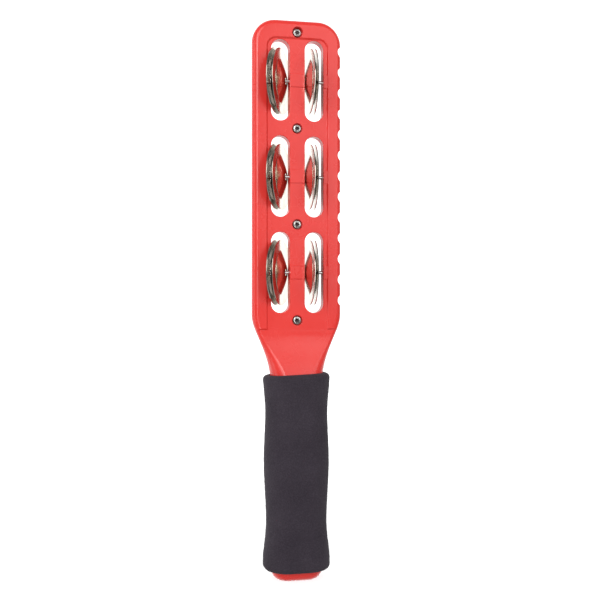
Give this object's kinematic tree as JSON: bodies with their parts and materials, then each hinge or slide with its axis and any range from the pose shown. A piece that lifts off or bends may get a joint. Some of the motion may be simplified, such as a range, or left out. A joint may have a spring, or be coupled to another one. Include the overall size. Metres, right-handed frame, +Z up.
{
  "type": "hand jingle stick",
  "caption": "Flat plastic head with slots that carry pairs of loose steel jingle discs on cross pins, a notched scraper edge, a tapered neck and a foam-covered handle.",
  "frame": {"origin": "middle of the flat butt end of the handle, at the lowest point of the stick", "axes": "+Z up along the stick from the butt to the head; +X to the right seen from the front, towards the notched scraper edge; -Y out of the front face, the one with the screw heads"},
  "size_m": [0.0616, 0.045, 0.38],
  "materials": {
    "red_plastic": "smooth glossy moulded plastic",
    "grip_foam": "matte closed-cell foam",
    "pin_steel": "bright drawn steel",
    "screw_steel": "bright zinc-plated steel",
    "jingle_metal": "polished nickel-plated steel"
  },
  "bodies": {
    "stick": {"front_shell": "red_plastic", "back_shell": "red_plastic", "foam_grip": "grip_foam", "cross_pin_top": "pin_steel", "cross_pin_middle": "pin_steel", "cross_pin_bottom": "pin_steel", "screw_1": "screw_steel", "screw_2": "screw_steel", "screw_3": "screw_steel", "screw_4": "screw_steel"},
    "jingle_top_left_inner": {"jingle_top_left_inner": "jingle_metal"},
    "jingle_top_left_outer": {"jingle_top_left_outer": "jingle_metal"},
    "jingle_top_right_inner": {"jingle_top_right_inner": "jingle_metal"},
    "jingle_top_right_outer": {"jingle_top_right_outer": "jingle_metal"},
    "jingle_middle_left_inner": {"jingle_middle_left_inner": "jingle_metal"},
    "jingle_middle_left_outer": {"jingle_middle_left_outer": "jingle_metal"},
    "jingle_middle_right_inner": {"jingle_middle_right_inner": "jingle_metal"},
    "jingle_middle_right_outer": {"jingle_middle_right_outer": "jingle_metal"},
    "jingle_bottom_left_inner": {"jingle_bottom_left_inner": "jingle_metal"},
    "jingle_bottom_left_outer": {"jingle_bottom_left_outer": "jingle_metal"},
    "jingle_bottom_right_inner": {"jingle_bottom_right_inner": "jingle_metal"},
    "jingle_bottom_right_outer": {"jingle_bottom_right_outer": "jingle_metal"}
  },
  "joints": [
    {"name": "top_left_inner_slide", "type": "slide", "parent": "stick", "child": "jingle_top_left_inner", "axis": [1, 0, 0], "range_m": [-0.001, 0]},
    {"name": "top_left_outer_slide", "type": "slide", "parent": "stick", "child": "jingle_top_left_outer", "axis": [1, 0, 0], "range_m": [-0.0013, 0.001]},
    {"name": "top_right_inner_slide", "type": "slide", "parent": "stick", "child": "jingle_top_right_inner", "axis": [1, 0, 0], "range_m": [0, 0.00045]},
    {"name": "top_right_outer_slide", "type": "slide", "parent": "stick", "child": "jingle_top_right_outer", "axis": [1, 0, 0], "range_m": [-0.00045, 0.0046]},
    {"name": "middle_left_inner_slide", "type": "slide", "parent": "stick", "child": "jingle_middle_left_inner", "axis": [1, 0, 0], "range_m": [-0.001, 0]},
    {"name": "middle_left_outer_slide", "type": "slide", "parent": "stick", "child": "jingle_middle_left_outer", "axis": [1, 0, 0], "range_m": [-0.0013, 0.001]},
    {"name": "middle_right_inner_slide", "type": "slide", "parent": "stick", "child": "jingle_middle_right_inner", "axis": [1, 0, 0], "range_m": [0, 0.00045]},
    {"name": "middle_right_outer_slide", "type": "slide", "parent": "stick", "child": "jingle_middle_right_outer", "axis": [1, 0, 0], "range_m": [-0.00045, 0.0046]},
    {"name": "bottom_left_inner_slide", "type": "slide", "parent": "stick", "child": "jingle_bottom_left_inner", "axis": [1, 0, 0], "range_m": [-0.001, 0]},
    {"name": "bottom_left_outer_slide", "type": "slide", "parent": "stick", "child": "jingle_bottom_left_outer", "axis": [1, 0, 0], "range_m": [-0.0013, 0.001]},
    {"name": "bottom_right_inner_slide", "type": "slide", "parent": "stick", "child": "jingle_bottom_right_inner", "axis": [1, 0, 0], "range_m": [0, 0.00045]},
    {"name": "bottom_right_outer_slide", "type": "slide", "parent": "stick", "child": "jingle_bottom_right_outer", "axis": [1, 0, 0], "range_m": [-0.00045, 0.0046]}
  ]
}
